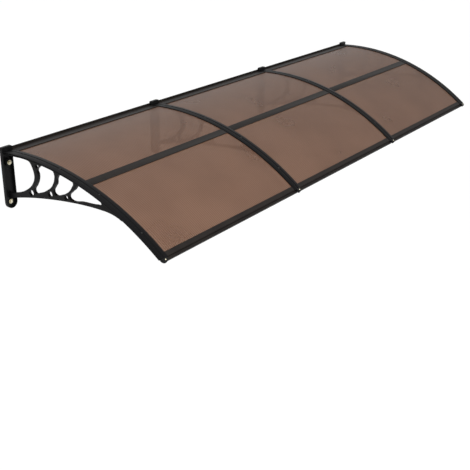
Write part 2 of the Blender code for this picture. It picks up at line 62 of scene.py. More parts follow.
def linear(hex_colour: str) -> tuple[float, float, float, float]:
    """Turns an sRGB hex colour into linear values with full alpha.

    Args:
        hex_colour: Colour such as "#7d6457".

    Returns:
        Linear red, green and blue, and an alpha of 1.
    """
    parts = [int(hex_colour[start:start + 2], 16) / 255 for start in (1, 3, 5)]
    values = [part / 12.92 if part <= 0.04045 else ((part + 0.055) / 1.055) ** 2.4 for part in parts]
    return (values[0], values[1], values[2], 1.0)


def add_node(tree: bpy.types.NodeTree, kind: str, inputs: dict | None = None, **settings) -> bpy.types.Node:
    """Adds a node with its settings, and fills or links its inputs.

    Args:
        tree: Node tree that gets the node.
        kind: Blender's name of the node type.
        inputs: A value or an output socket for each input, by name or number.
        **settings: Properties of the node itself.

    Returns:
        The new node.
    """
    node = tree.nodes.new(kind)
    for name, value in settings.items():
        setattr(node, name, value)
    for name, value in (inputs or {}).items():
        if isinstance(value, bpy.types.NodeSocket):
            tree.links.new(value, node.inputs[name])
        else:
            node.inputs[name].default_value = value
    return node


def start_material(name: str) -> tuple[bpy.types.Material, bpy.types.NodeTree, bpy.types.Node]:
    """Makes a node material.

    Args:
        name: Name of the material.

    Returns:
        The material, its node tree and its Principled shader.
    """
    material = bpy.data.materials.new(name)
    material.use_nodes = True
    return material, material.node_tree, material.node_tree.nodes["Principled BSDF"]


def object_point(tree: bpy.types.NodeTree) -> bpy.types.NodeSocket:
    """Gives the point on the piece in metres, which stays with the piece."""
    return add_node(tree, "ShaderNodeTexCoord").outputs["Object"]


def noise(tree: bpy.types.NodeTree, size_mm: tuple[float, float, float], detail: float) -> bpy.types.NodeSocket:
    """Makes noise whose blotches have a real size along each axis.

    Args:
        tree: Node tree that gets the noise.
        size_mm: Size of a blotch along X, Y and Z.
        detail: Number of finer layers in it.

    Returns:
        The noise's value, from 0 to 1.
    """
    scale = tuple(1 / (size * MM) for size in size_mm)
    point = add_node(tree, "ShaderNodeMapping", {"Vector": object_point(tree), "Scale": scale})
    made = add_node(tree, "ShaderNodeTexNoise", {"Vector": point.outputs[0], "Scale": 1.0, "Detail": detail})
    return made.outputs["Fac"]


def blend_colours(tree: bpy.types.NodeTree, factor: bpy.types.NodeSocket, low: str, high: str,
                  span: tuple[float, float] = (0.35, 0.65)) -> bpy.types.NodeSocket:
    """Runs a value through a ramp between two colours.

    Args:
        tree: Node tree that gets the ramp.
        factor: Value that drives it.
        low: Colour at the lower end, as sRGB hex.
        high: Colour at the upper end, as sRGB hex.
        span: Values at which the ramp starts and ends.

    Returns:
        The colour.
    """
    ramp = add_node(tree, "ShaderNodeValToRGB", {"Fac": factor})
    for stop, place, colour in zip(ramp.color_ramp.elements, span, (low, high)):
        stop.position = place
        stop.color = linear(colour)
    return ramp.outputs["Color"]


def spread_value(tree: bpy.types.NodeTree, factor: bpy.types.NodeSocket, low: float,
                 high: float) -> bpy.types.NodeSocket:
    """Maps a value from 0 to 1 onto low to high."""
    made = add_node(tree, "ShaderNodeMapRange", {"Value": factor, "To Min": low, "To Max": high})
    return made.outputs["Result"]


def bump(tree: bpy.types.NodeTree, height: bpy.types.NodeSocket, depth_mm: float) -> bpy.types.NodeSocket:
    """Turns a height from 0 to 1 into a bumped normal.

    Args:
        tree: Node tree that gets the bump.
        height: Height, from 0 to 1.
        depth_mm: Depth from its lowest to its highest point.

    Returns:
        The normal.
    """
    made = add_node(tree, "ShaderNodeBump", {"Height": height, "Distance": depth_mm * MM, "Strength": 1.0})
    return made.outputs["Normal"]


@dataclass(frozen=True)
class MouldedPolypropylene:
    """Black polypropylene, injection moulded against a finely etched tool."""

    name: str = "injection_moulded_polypropylene"
    dark: str = "#090909"
    light: str = "#0f0f10"
    roughness: tuple[float, float] = (0.38, 0.48)
    specular: float = 0.12
    grain_mm: float = 1.1
    grain_depth_mm: float = 0.03
    flow_mm: tuple[float, float, float] = (30.0, 60.0, 60.0)

    def build(self) -> bpy.types.Material:
        """Makes the material. The etched grain breaks the highlights and the flow of the melt clouds the gloss."""
        material, tree, shader = start_material(self.name)
        flow = noise(tree, self.flow_mm, 2.0)
        tree.links.new(blend_colours(tree, flow, self.dark, self.light), shader.inputs["Base Color"])
        tree.links.new(spread_value(tree, flow, *self.roughness), shader.inputs["Roughness"])
        # Tool grain is about 0.2 mm and is drawn five times as coarse, so that it shows
        grain = noise(tree, (self.grain_mm,) * 3, 1.0)
        tree.links.new(bump(tree, grain, self.grain_depth_mm), shader.inputs["Normal"])
        shader.inputs["Specular IOR Level"].default_value = self.specular
        return material


@dataclass(frozen=True)
class ExtrudedStrip:
    """Satin black rigid vinyl, extruded through a die."""

    name: str = "extruded_black_vinyl"
    dark: str = "#060607"
    light: str = "#0c0c0d"
    roughness: tuple[float, float] = (0.36, 0.46)
    specular: float = 0.06
    line_mm: float = 0.9
    line_length_mm: float = 400.0
    line_depth_mm: float = 0.02

    def build(self) -> bpy.types.Material:
        """Makes the material. Die lines run along the strip and draw the highlight out lengthwise."""
        material, tree, shader = start_material(self.name)
        lines = noise(tree, (self.line_mm, self.line_length_mm, self.line_length_mm), 2.0)
        tree.links.new(blend_colours(tree, lines, self.dark, self.light), shader.inputs["Base Color"])
        tree.links.new(spread_value(tree, lines, *self.roughness), shader.inputs["Roughness"])
        tree.links.new(bump(tree, lines, self.line_depth_mm), shader.inputs["Normal"])
        shader.inputs["Specular IOR Level"].default_value = self.specular
        return material


@dataclass(frozen=True)
class PowderCoatedAluminium:
    """Extruded aluminium with a matt charcoal powder coat."""

    name: str = "powder_coated_aluminium"
    dark: str = "#15110f"
    light: str = "#1c1815"
    roughness: tuple[float, float] = (0.46, 0.56)
    specular: float = 0.12
    peel_mm: float = 2.4
    peel_depth_mm: float = 0.03
    cloud_mm: float = 90.0

    def build(self) -> bpy.types.Material:
        """Makes the material. The baked powder has an orange-peel surface that softens its sheen."""
        material, tree, shader = start_material(self.name)
        cloud = noise(tree, (self.cloud_mm,) * 3, 2.0)
        tree.links.new(blend_colours(tree, cloud, self.dark, self.light), shader.inputs["Base Color"])
        tree.links.new(spread_value(tree, cloud, *self.roughness), shader.inputs["Roughness"])
        peel = noise(tree, (self.peel_mm,) * 3, 1.0)
        tree.links.new(bump(tree, peel, self.peel_depth_mm), shader.inputs["Normal"])
        shader.inputs["Specular IOR Level"].default_value = self.specular
        return material


@dataclass(frozen=True)
class TwinWallPolycarbonate:
    """Bronze polycarbonate, extruded as twin-wall sheet."""

    name: str = "extruded_bronze_polycarbonate"
    dark: str = "#785846"
    light: str = "#82614e"
    opacity: float = 0.58
    tint: str = "#c3b4aa"
    wall_shade: float = 0.68
    roughness: tuple[float, float] = (0.24, 0.34)
    specular: float = 0.22
    cloud_mm: float = 260.0
    flute_pitch_mm: float = 10.961
    wall_mm: float = 2.4

    def build(self) -> bpy.types.Material:
        """Makes the material. Each skin lets some light through, so that what lies below shows as a brown shade.

        A skin colours the light once, at the face that meets the eye, and is clear from inside.
        """
        material, tree, shader = start_material(self.name)
        cloud = noise(tree, (self.cloud_mm,) * 3, 2.0)
        over_wall = self.flute_walls(tree)
        shade = spread_value(tree, over_wall, 1.0, self.wall_shade)
        brown = blend_colours(tree, cloud, self.dark, self.light)
        colour = add_node(tree, "ShaderNodeVectorMath", {0: brown, "Scale": shade}, operation="SCALE")
        tree.links.new(colour.outputs[0], shader.inputs["Base Color"])
        tree.links.new(spread_value(tree, cloud, *self.roughness), shader.inputs["Roughness"])
        shader.inputs["Specular IOR Level"].default_value = self.specular
        inside = add_node(tree, "ShaderNodeNewGeometry").outputs["Backfacing"]
        tint = add_node(tree, "ShaderNodeMix", {"Factor": inside, "A": linear(self.tint), "B": (1.0, 1.0, 1.0, 1.0)},
                        data_type="RGBA")
        clear = add_node(tree, "ShaderNodeBsdfTransparent", {"Color": tint.outputs["Result"]})
        density = spread_value(tree, inside, self.opacity, 0.0)
        mix = add_node(tree, "ShaderNodeMixShader", {0: density, 1: clear.outputs[0], 2: shader.outputs[0]})
        tree.links.new(mix.outputs[0], tree.nodes["Material Output"].inputs["Surface"])
        return material

    def flute_walls(self, tree: bpy.types.NodeTree) -> bpy.types.NodeSocket:
        """Gives 1 over the walls of the flutes, where the sheet is denser, and 0 between them."""
        across = add_node(tree, "ShaderNodeSeparateXYZ", {0: object_point(tree)}).outputs["X"]
        flutes = add_node(tree, "ShaderNodeMath", {0: across, 1: 1 / (self.flute_pitch_mm * MM)},
                          operation="MULTIPLY")
        away = add_node(tree, "ShaderNodeMath", {0: flutes.outputs[0], 1: 0.5, 2: -0.5}, operation="WRAP")
        away = add_node(tree, "ShaderNodeMath", {0: away.outputs[0]}, operation="ABSOLUTE")
        reach = self.wall_mm / self.flute_pitch_mm
        made = add_node(tree, "ShaderNodeMapRange", {"Value": away.outputs[0], "From Min": reach / 2,
                                                     "From Max": reach, "To Min": 1.0, "To Max": 0.0})
        return made.outputs["Result"]


@dataclass(frozen=True)
class ChromatedZinc:
    """Zinc plated steel with a yellow chromate film."""

    name: str = "yellow_zinc_plated_steel"
    dark: str = "#b9ae88"
    light: str = "#e6e3d4"
    roughness: tuple[float, float] = (0.22, 0.40)
    cloud_mm: float = 4.0

    def build(self) -> bpy.types.Material:
        """Makes the material. The chromate film turns from straw to pale silver in small clouds."""
        material, tree, shader = start_material(self.name)
        cloud = noise(tree, (self.cloud_mm,) * 3, 3.0)
        tree.links.new(blend_colours(tree, cloud, self.dark, self.light), shader.inputs["Base Color"])
        tree.links.new(spread_value(tree, cloud, *self.roughness), shader.inputs["Roughness"])
        shader.inputs["Metallic"].default_value = 1.0
        return material


@dataclass(frozen=True)
class BlackenedSteel:
    """Case hardened steel, blackened by phosphate and oil."""

    name: str = "phosphated_black_steel"
    dark: str = "#1c1c1d"
    light: str = "#2e2d2c"
    roughness: tuple[float, float] = (0.34, 0.52)
    cloud_mm: float = 1.5

    def build(self) -> bpy.types.Material:
        """Makes the material. The phosphate crystals leave the black uneven and half dull."""
        material, tree, shader = start_material(self.name)
        cloud = noise(tree, (self.cloud_mm,) * 3, 2.0)
        tree.links.new(blend_colours(tree, cloud, self.dark, self.light), shader.inputs["Base Color"])
        tree.links.new(spread_value(tree, cloud, *self.roughness), shader.inputs["Roughness"])
        shader.inputs["Metallic"].default_value = 0.6
        return material


@dataclass(frozen=True)
class Palette:
    """The finishes of the canopy, each made once."""

    moulding: bpy.types.Material
    strip: bpy.types.Material
    bar: bpy.types.Material
    sheet: bpy.types.Material
    zinc: bpy.types.Material
    black_steel: bpy.types.Material

    @classmethod
    def build(cls) -> "Palette":
        """Makes every finish."""
        return cls(MouldedPolypropylene().build(), ExtrudedStrip().build(), PowderCoatedAluminium().build(),
                   TwinWallPolycarbonate().build(), ChromatedZinc().build(), BlackenedSteel().build())


@dataclass(frozen=True)
class Roof:
    """Curve of the roof: the sheets' upper face is one arc seen from the side."""

    radius: float = 1.310
    crest_out: float = 0.1035
    bays: int = 3
    bay_pitch: float = 1.000
    sheet_thickness: float = 0.005

    @property
    def centre_z(self) -> float:
        """Height of the arc's centre, for an arc that meets the wall at z = 0."""
        return -math.sqrt(self.radius ** 2 - self.crest_out ** 2)

    def swing(self, out: float) -> float:
        """Angle of the arc past its crest at a distance from the wall."""
        return math.asin((out - self.crest_out) / self.radius)

    def at_angle(self, angle: float, x: float, offset: float) -> Vector:
        """Gives the point at an angle past the crest.

        Args:
            angle: Angle past the crest, in radians.
            x: Place along the wall.
            offset: Height above the sheets' upper face, square to it.

        Returns:
            The point in space.
        """
        reach = self.radius + offset
        return Vector((x, -self.crest_out - reach * math.sin(angle), self.centre_z + reach * math.cos(angle)))

    def side(self, out: float, offset: float) -> tuple[float, float]:
        """Point (out, z) at offset above the sheets' upper face, square to it where it is at out."""
        point = self.at_angle(self.swing(out), 0.0, offset)
        return (-point.y, point.z)

    def seat(self, out: float, x: float, offset: float) -> Matrix:
        """Gives the placing of a piece that stands square on the roof.

        Args:
            out: Distance from the wall.
            x: Place along the wall.
            offset: Height of the seat above the sheets' upper face.

        Returns:
            The placing, with the piece's +Z square to the roof.
        """
        angle = self.swing(out)
        return Matrix.Translation(self.at_angle(angle, x, offset)) @ Matrix.Rotation(angle, 4, "X")

    def bracket_x(self, number: int) -> float:
        """Place along the wall of a bracket, numbered from 1."""
        return (number - 1 - self.bays / 2) * self.bay_pitch

    def bay_x(self, number: int) -> float:
        """Place along the wall of a bay's middle, numbered from 1."""
        return (number - 0.5 - self.bays / 2) * self.bay_pitch


def smooth_object(name: str, work: bmesh.types.BMesh, sharp_degrees: float) -> bpy.types.Object:
    """Turns a mesh in the making into a smoothly shaded object, with sharp edges past an angle.

    Args:
        name: Name of the object.
        work: The mesh in the making, which is used up.
        sharp_degrees: Angle past which an edge stays sharp.

    Returns:
        The object, linked to the scene.
    """
    bmesh.ops.recalc_face_normals(work, faces=work.faces)
    mesh = bpy.data.meshes.new(name)
    work.to_mesh(mesh)
    work.free()
    mesh.shade_smooth()
    mesh.set_sharp_from_angle(angle=math.radians(sharp_degrees))
    item = bpy.data.objects.new(name, mesh)
    bpy.context.scene.collection.objects.link(item)
    return item


def soften(item: bpy.types.Object, width_mm: float, limit_degrees: float, segments: int = 2) -> None:
    """Rounds a piece's edges past an angle.

    Args:
        item: The piece.
        width_mm: Width of the rounding.
        limit_degrees: Angle past which an edge is rounded.
        segments: Facets across the rounding.
    """
    edge = item.modifiers.new("softened_edges", "BEVEL")
    edge.width = width_mm * MM
    edge.segments = segments
    edge.limit_method = "ANGLE"
    edge.angle_limit = math.radians(limit_degrees)
    edge.miter_outer = "MITER_ARC"
    edge.harden_normals = True


def hand_over(item: bpy.types.Object, node: str, material: bpy.types.Material) -> None:
    """Dresses a piece and lets it stand for a node of the frame.

    Args:
        item: The piece.
        node: Node that it replaces.
        material: Its finish.
    """
    item.data.materials.clear()
    item.data.materials.append(material)
    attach(item, "root")
    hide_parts(node)
    LOG.info("built %s in place of %s, %d vertices", item.name, node, len(item.data.vertices))


def solid_copy(node: str, flat_degrees: float = 0.5, merge: float = 0.00001) -> bmesh.types.BMesh:
    """Copies a solid of the frame as clean faces.

    Args:
        node: Node to copy.
        flat_degrees: Angle under which neighbouring faces become one.
        merge: Distance under which points become one.

    Returns:
        A mesh in the making.
    """
    work = bmesh.new()
    work.from_mesh(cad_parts[node].data)
    bmesh.ops.remove_doubles(work, verts=work.verts, dist=merge)
    bmesh.ops.dissolve_limit(work, angle_limit=math.radians(flat_degrees), verts=work.verts, edges=work.edges)
    return work


Outline = list[tuple[float, float]]
Shares = tuple[tuple[float, float], ...]

# Turn an outline drawn in the XY plane into the (out, z) plane, or into the plane of the wall
SIDE_ON = Matrix(((0, 0, -1), (-1, 0, 0), (0, 1, 0))).to_4x4()
FACING_OUT = Matrix(((1, 0, 0), (0, 0, -1), (0, 1, 0))).to_4x4()


def arc(centre: tuple[float, float], radius: float, start: float, end: float, steps: int) -> Outline:
    """Gives points along a circular arc between two angles in radians."""
    return [(centre[0] + radius * math.cos(start + (end - start) * step / steps),
             centre[1] + radius * math.sin(start + (end - start) * step / steps)) for step in range(steps + 1)]


@dataclass(frozen=True)
class Contour:
    """A closed line through points. Those marked smooth lie on a smooth curve, and the others are corners."""

    points: Outline
    smooth: tuple[bool, ...] = ()

    def turned(self, clockwise: bool) -> "Contour":
        """Gives the same line, run through in the direction asked for."""
        area = sum(a[0] * b[1] - b[0] * a[1] for a, b in zip(self.points, self.points[1:] + self.points[:1]))
        if (area < 0) == clockwise:
            return self
        return Contour(self.points[::-1], self.smooth[::-1])

    def add_to(self, curve: bpy.types.Curve) -> None:
        """Adds the line to a curve."""
        if not self.smooth:
            spline = curve.splines.new("POLY")
            spline.points.add(len(self.points) - 1)
            for point, (across, up) in zip(spline.points, self.points):
                point.co = (across, up, 0.0, 1.0)
        else:
            spline = curve.splines.new("BEZIER")
            spline.bezier_points.add(len(self.points) - 1)
            for point, (across, up), is_smooth in zip(spline.bezier_points, self.points, self.smooth):
                point.co = (across, up, 0.0)
                point.handle_left_type = point.handle_right_type = "AUTO" if is_smooth else "VECTOR"
        spline.use_cyclic_u = True


def moulded_plate(contours: list[Contour], thickness: float, edge: float, placing: Matrix,
                  resolution: int = 8) -> bpy.types.Mesh:
    """Makes a plate with rounded edges from its outline and its holes.

    Args:
        contours: The outline, and then the holes.
        thickness: Thickness of the plate, half of it to each side of the outline's plane.
        edge: Radius of its edges, 0 for sharp ones.
        placing: Placing of the outline's plane.
        resolution: Spans between two points of a smooth line.

    Returns:
        The plate's mesh, in its place.
    """
    curve = bpy.data.curves.new("moulded_plate", "CURVE")
    curve.dimensions = "2D"
    curve.fill_mode = "BOTH"
    curve.resolution_u = resolution
    curve.extrude = thickness / 2 - edge
    curve.bevel_depth = edge
    curve.bevel_resolution = 1
    curve.offset = -edge
    for index, contour in enumerate(contours):
        contour.turned(clockwise=index == 0).add_to(curve)
    item = bpy.data.objects.new("moulded_plate", curve)
    bpy.context.scene.collection.objects.link(item)
    bpy.context.view_layer.update()
    mesh = bpy.data.meshes.new_from_object(item.evaluated_get(bpy.context.evaluated_depsgraph_get()))
    mesh.transform(placing)
    bpy.data.objects.remove(item, do_unlink=True)
    return mesh


@dataclass(frozen=True)
class Scrollwork:
    """Lines of the bracket's web. Each point is a share of the reach and of the height below the roof."""

    reach: float = 0.932
    height: float = 0.238
    chord: Shares = ((0.754, 0.102), (0.731, 0.113), (0.683, 0.156), (0.623, 0.241), (0.536, 0.366),
                     (0.433, 0.505), (0.299, 0.663), (0.160, 0.800), (0.050, 0.894), (0.000, 0.929))
    arch: Shares = ((0.175, 0.081), (0.190, 0.156), (0.202, 0.291), (0.202, 0.367), (0.192, 0.462),
                    (0.172, 0.563), (0.146, 0.642), (0.109, 0.723), (0.072, 0.776), (0.034, 0.803),
                    (0.000, 0.805))
    second: Shares = ((0.332, 0.075), (0.340, 0.133), (0.339, 0.205), (0.329, 0.312), (0.311, 0.415),
                      (0.286, 0.499), (0.255, 0.581), (0.219, 0.648), (0.201, 0.668), (0.193, 0.613),
                      (0.210, 0.503), (0.224, 0.398), (0.229, 0.271), (0.223, 0.193))
    third: Shares = ((0.460, 0.097), (0.451, 0.182), (0.436, 0.276), (0.408, 0.381), (0.376, 0.465),
                     (0.337, 0.521), (0.325, 0.470), (0.337, 0.370), (0.350, 0.290), (0.354, 0.191))
    fourth: Shares = ((0.632, 0.125), (0.601, 0.206), (0.515, 0.344), (0.435, 0.445), (0.427, 0.406),
                      (0.448, 0.285), (0.470, 0.192))
    starts: tuple[tuple[float, float], ...] = ((0.000, 0.161), (0.258, 0.319), (0.376, 0.448), (0.492, 0.620))
    curl: Shares = ((0.217, 0.098), (0.236, 0.096), (0.220, 0.153))
    eyelets: tuple[tuple[float, float, float], ...] = ((0.171, 0.693, 0.063), (0.302, 0.559, 0.059),
                                                       (0.408, 0.458, 0.046))
    eyelet_sides: int = 40

    def place(self, roof: Roof, shares: Shares, nearest: float) -> Outline:
        """Gives the points (out, z) of some shares, none of them nearer to the wall than asked."""
        points = []
        for reach_share, height_share in shares:
            out = max(reach_share * self.reach, nearest)
            points.append((out, roof.side(out, 0.0)[1] - height_share * self.height))
        return points


@dataclass(frozen=True)
class Brackets:
    """The four moulded wall brackets: wall plate, rib, scrollwork and nose in one moulding."""

    roof: Roof
    scrolls: Scrollwork = Scrollwork()
    edge: float = 0.0011
    plate_half: float = 0.030
    plate_depth: float = 0.016
    plate_floor: float = 0.004
    plate_side: float = 0.005
    plate_top: float = 0.024
    plate_corner: float = 0.007
    foot_centre: float = -0.238
    recess_top: float = -0.014
    recess_corner: float = 0.004
    upper_bolt: float = -0.049
    bolt_hole: float = 0.0045
    boss_radius: float = 0.017
    boss_reach: float = 0.021
    web: float = 0.015
    web_depth: float = 0.016
    flange_half: float = 0.020
    flange_span: tuple[float, float] = (-0.0083, -0.0053)
    flange_edge: float = 0.0008
    tongue_half: float = 0.006
    nose_start: float = 0.9135
    nose_centre: float = 0.9155
    nose_radius: float = 0.017
    nose_span: tuple[float, float] = (-0.0075, 0.0075)
    nose_edge: float = 0.0024
    flange_setback: float = 0.003
    tongue_overlap: float = 0.001
    half_round_steps: int = 40
    corner_steps: int = 8
    hole_steps: int = 32
    boss_steps: int = 48
    roof_steps: int = 60
    web_spans: int = 12
    merge: float = 0.000005
    smooth_degrees: float = 40.0

    def channel(self, half: float, top: float, corner: float) -> Outline:
        """Gives an outline in the plane of the wall: round foot, straight sides and round top corners."""
        foot = arc((0.0, self.foot_centre), half, math.pi, 2 * math.pi, self.half_round_steps)
        right = arc((half - corner, top - corner), corner, 0.0, math.pi / 2, self.corner_steps)
        left = arc((corner - half, top - corner), corner, math.pi / 2, math.pi, self.corner_steps)
        return foot + right + left

    def plate(self, outline: Outline, holes: list[Outline], span: tuple[float, float], edge: float) -> bpy.types.Mesh:
        """Makes a plate parallel to the wall.

        Args:
            outline: Its outline, as (x, z).
            holes: Its holes.
            span: Distances from the wall of its two faces.
            edge: Radius of its edges.

        Returns:
            The plate's mesh.
        """
        placing = Matrix.Translation((0.0, -(span[0] + span[1]) / 2, 0.0)) @ FACING_OUT
        return moulded_plate([Contour(line) for line in (outline, *holes)], span[1] - span[0], edge, placing)

    def along_roof(self, start: float, end: float, span: tuple[float, float], width: float,
                   edge: float) -> bpy.types.Mesh:
        """Makes a bent bar that follows the roof between two offsets."""
        steps = self.roof_steps
        outs = [start + (end - start) * step / steps for step in range(steps + 1)]
        line = [self.roof.side(out, span[1]) for out in outs] + [self.roof.side(out, span[0]) for out in outs[::-1]]
        return moulded_plate([Contour(line)], width, edge, SIDE_ON)

    def web_mesh(self) -> bpy.types.Mesh:
        """Makes the rib's web with the chord, the scrollwork and its openings."""
        roof, scrolls = self.roof, self.scrolls
        back, front = self.plate_floor / 4, self.nose_start
        floor = self.plate_floor * 3 / 4
        top_offset = sum(self.flange_span) / 2
        spans = self.web_spans
        top = [roof.side(back + (front - back) * step / spans, top_offset) for step in range(spans + 1)]
        chord = scrolls.place(roof, scrolls.chord, back)
        tail = [roof.side(front + (chord[0][0] - front) * step / spans, -self.web_depth) for step in range(spans)]
        outer = top + tail + chord
        corners = {0, len(top) - 1, len(top), len(outer) - 1}
        contours = [Contour(outer, tuple(index not in corners for index in range(len(outer))))]
        for (first, last), lower in zip(scrolls.starts, (scrolls.arch, scrolls.second, scrolls.third,
                                                         scrolls.fourth)):
            near, far = max(first * scrolls.reach, floor), last * scrolls.reach
            upper = [roof.side(near + (far - near) * step / 2, -self.web_depth) for step in range(3)]
            points = upper + scrolls.place(roof, lower, floor)
            sharp = {0, len(points) - 1} if near == floor else {0}
            contours.append(Contour(points, tuple(index not in sharp for index in range(len(points)))))
        contours.append(Contour(scrolls.place(roof, scrolls.curl, back), (True,) * len(scrolls.curl)))
        for reach_share, height_share, radius_share in scrolls.eyelets:
            middle = scrolls.place(roof, ((reach_share, height_share),), back)[0]
            contours.append(Contour(arc(middle, radius_share * scrolls.height, 0.0, 2 * math.pi,
                                        scrolls.eyelet_sides)[:-1]))
        return moulded_plate(contours, self.web, self.edge, SIDE_ON)

    def nose_mesh(self) -> bpy.types.Mesh:
        """Makes the nose, a half-round cap in front of the gutter that takes the nose screw."""
        radius, back = self.nose_radius, self.nose_centre - self.nose_start
        half_round = arc((0.0, 0.0), radius, math.pi, 2 * math.pi, self.half_round_steps)
        half_round += [(radius, back), (-radius, back)]
        placing = self.roof.seat(self.nose_centre, 0.0, sum(self.nose_span) / 2)
        return moulded_plate([Contour(half_round)], self.nose_span[1] - self.nose_span[0], self.nose_edge, placing)

    def meshes(self) -> list[bpy.types.Mesh]:
        """Makes the parts of the moulding, which run into one another."""
        outline = self.channel(self.plate_half, self.plate_top, self.plate_corner)
        inner = self.plate_half - self.plate_side
        recess = self.channel(inner, self.recess_top, self.recess_corner)
        floor = self.channel(inner + self.plate_side / 2, self.recess_top + self.plate_side / 2, self.recess_corner)
        holes = [arc((0.0, z), self.bolt_hole, 0.0, 2 * math.pi, self.hole_steps)[:-1]
                 for z in (self.upper_bolt, self.foot_centre)]
        boss = arc((0.0, self.upper_bolt), self.boss_radius, 0.0, 2 * math.pi, self.boss_steps)[:-1]
        thin = self.plate_floor / 16
        return [
            self.plate(outline, [recess], (0.0, self.plate_depth), self.edge),
            self.plate(floor, holes, (thin, self.plate_floor), 0.0),
            self.plate(boss, holes[:1], (self.plate_floor / 2, self.boss_reach), self.edge),
            self.web_mesh(),
            self.along_roof(self.plate_depth / 2, self.nose_start - self.flange_setback, self.flange_span,
                            2 * self.flange_half, self.flange_edge),
            self.along_roof(self.plate_depth / 3, self.nose_start, (self.flange_span[1] - self.tongue_overlap, 0.0),
                            2 * self.tongue_half, 0.0),
            self.nose_mesh(),
        ]

    def build(self, palette: Palette) -> None:
        """Makes a bracket at each joint of the bays and at both ends."""
        meshes = self.meshes()
        for number in range(1, self.roof.bays + 2):
            work = bmesh.new()
            for mesh in meshes:
                work.from_mesh(mesh)
            bmesh.ops.translate(work, verts=work.verts, vec=(self.roof.bracket_x(number), 0.0, 0.0))
            bmesh.ops.remove_doubles(work, verts=work.verts, dist=self.merge)
            item = smooth_object(f"moulded_bracket_{number}", work, self.smooth_degrees)
            even = item.modifiers.new("even_shading", "WEIGHTED_NORMAL")
            even.keep_sharp = True
            hand_over(item, f"bracket_{number}", palette.moulding)


@dataclass(frozen=True)
class FrontBars:
    """The front edging of each bay: a pocket that grips the sheet, and a gutter that runs on to the noses."""

    roof: Roof
    pocket_length: float = 0.9474
    gutter_length: float = 0.9648
    rear: float = 0.8945
    end: float = 0.9107
    trough: float = 0.9127
    lip: float = 0.9235
    front: float = 0.9255
    under: float = 0.0003
    top: float = 0.0023
    cut: float = -0.0002
    sheet_under: float = -0.0053
    floor: float = -0.0073
    lip_rise: float = 0.0035
    edge_mm: float = 0.35
    smooth_degrees: float = 25.0

    def corners(self) -> list[tuple[float, float]]:
        """Gives the cross section as (out, offset) corners, with those at which the gutter parts from the pocket."""
        return [(self.rear, self.under), (self.rear, self.top), (self.trough, self.top), (self.trough, self.cut),
                (self.trough, self.sheet_under), (self.lip, self.sheet_under), (self.lip, self.lip_rise),
                (self.front, self.lip_rise), (self.front, self.floor), (self.end, self.floor),
                (self.rear, self.floor), (self.rear, self.sheet_under), (self.end, self.sheet_under),
                (self.end, self.cut), (self.end, self.under)]

    def mesh(self, x: float) -> bmesh.types.BMesh:
        """Makes the bar, whose gutter is longer than its pocket.

        Args:
            x: Place of the bar's middle along the wall.

        Returns:
            A mesh in the making.
        """
        work = bmesh.new()
        corners = self.corners()
        gutter = (3, 4, 5, 6, 7, 8, 9, 12, 13)
        lids = ((0, 1, 2, 3, 13, 14), (9, 10, 11, 12))

        def ring(across: float) -> list[bmesh.types.BMVert]:
            return [work.verts.new(self.roof.at_angle(self.roof.swing(out), x + across, offset))
                    for out, offset in corners]

        near, far = ring(-self.pocket_length / 2), ring(self.pocket_length / 2)
        for index in range(len(corners)):
            work.faces.new((near[index - 1], near[index], far[index], far[index - 1]))
        for body, across in ((near, -self.gutter_length / 2), (far, self.gutter_length / 2)):
            for lid in lids:
                work.faces.new([body[index] for index in lid])
            tip = ring(across)
            for before, index in zip(gutter[-1:] + gutter, gutter):
                work.faces.new((body[before], body[index], tip[index], tip[before]))
            work.faces.new([tip[index] for index in gutter])
            for vert in [vert for vert in tip if not vert.link_faces]:
                work.verts.remove(vert)
        return work

    def build(self, palette: Palette) -> None:
        """Makes the front bar of each bay."""
        for number in range(1, self.roof.bays + 1):
            item = smooth_object(f"extruded_front_bar_{number}", self.mesh(self.roof.bay_x(number)),
                                 self.smooth_degrees)
            soften(item, self.edge_mm, self.smooth_degrees)
            hand_over(item, f"front_bar_{number}", palette.bar)


@dataclass(frozen=True)
class Bars:
    """Rear and middle bar of each bay, cut from extruded lengths."""

    roof: Roof
    edge_mm: float = 0.35
    smooth_degrees: float = 25.0
    rows: tuple[str, ...] = ("rear_bar", "middle_bar")

    def build(self, palette: Palette) -> None:
        """Takes each bar over with the small radii of an extrusion."""
        for row in self.rows:
            for number in range(1, self.roof.bays + 1):
                node = f"{row}_{number}"
                item = smooth_object(f"extruded_{node}", solid_copy(node), self.smooth_degrees)
                soften(item, self.edge_mm, self.smooth_degrees)
                hand_over(item, node, palette.bar)


def round_corners(points: list[tuple[float, float]], radius: float, steps: int) -> list[tuple[float, float]]:
    """Rounds every corner of a closed outline.

    Args:
        points: Corners of the outline.
        radius: Distance from a corner at which its rounding starts.
        steps: Facets across each rounding.

    Returns:
        The rounded outline.
    """
    made = []
    for index, corner in enumerate(points):
        here = Vector(corner)
        before = here + (Vector(points[index - 1]) - here).normalized() * radius
        after = here + (Vector(points[(index + 1) % len(points)]) - here).normalized() * radius
        for step in range(steps + 1):
            share = step / steps
            point = before * (1 - share) ** 2 + here * 2 * share * (1 - share) + after * share ** 2
            made.append((point.x, point.y))
    return made


